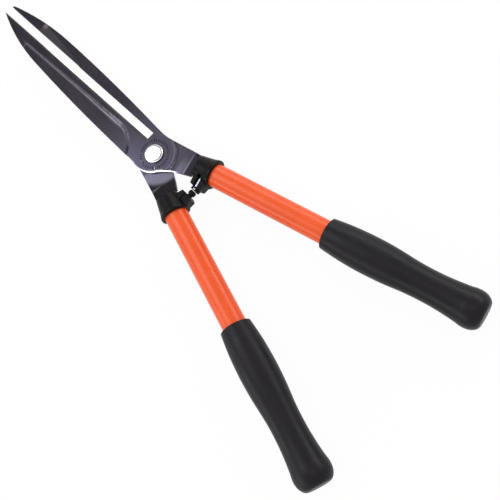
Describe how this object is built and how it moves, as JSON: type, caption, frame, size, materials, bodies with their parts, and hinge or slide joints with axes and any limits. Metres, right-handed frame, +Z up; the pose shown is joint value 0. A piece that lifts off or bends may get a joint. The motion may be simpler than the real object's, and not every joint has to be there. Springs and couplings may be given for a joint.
{
  "type": "hedge shears",
  "caption": "Two-handed hedge shears: crossed forged blades on a keyed pivot bolt, tubular handles with moulded ferrules, stop lugs with a rubber buffer, and soft grips.",
  "frame": {"origin": "On the pivot axis, in the bench plane on which the bolt's end and the two grips' bulbs rest.", "axes": "+Z up along the pivot axis, +Y towards the blade tips, +X towards the side of the upper half's handle."},
  "size_m": [0.218, 0.5707, 0.0344],
  "materials": {
    "blade_steel": "forged steel with a dark satin non-stick coating, cutting faces ground bright",
    "bright_steel": "polished bright steel",
    "lacquered_tube": "glossy orange lacquer on steel tube",
    "moulded_plastic": "satin black moulded plastic",
    "soft_grip": "soft satin black rubber",
    "bearing_bronze": "plain turned bronze",
    "nylon": "natural nylon"
  },
  "bodies": {
    "lower_half": {"lower_blade": "blade_steel", "lower_tube": "lacquered_tube", "lower_tang_sleeve": "moulded_plastic", "lower_tang_pin": "bright_steel", "lower_ferrule": "moulded_plastic", "lower_grip": "soft_grip", "lower_tube_plug": "moulded_plastic", "rubber_buffer": "soft_grip", "pivot_bolt": "bright_steel", "thrust_washer": "bright_steel", "spring_washer": "bright_steel", "lock_nut": "bright_steel", "nut_nylon_ring": "nylon"},
    "upper_half": {"upper_blade": "blade_steel", "upper_tube": "lacquered_tube", "upper_tang_sleeve": "moulded_plastic", "upper_tang_pin": "bright_steel", "upper_ferrule": "moulded_plastic", "upper_grip": "soft_grip", "upper_tube_plug": "moulded_plastic", "striker_pin": "bright_steel", "pivot_bush": "bearing_bronze"}
  },
  "joints": [
    {"name": "blade_pivot", "type": "hinge", "parent": "lower_half", "child": "upper_half", "pos_m": [0, 0, 0.0172], "axis": [0, 0, 1], "range_deg": [-0.3, 75]}
  ]
}
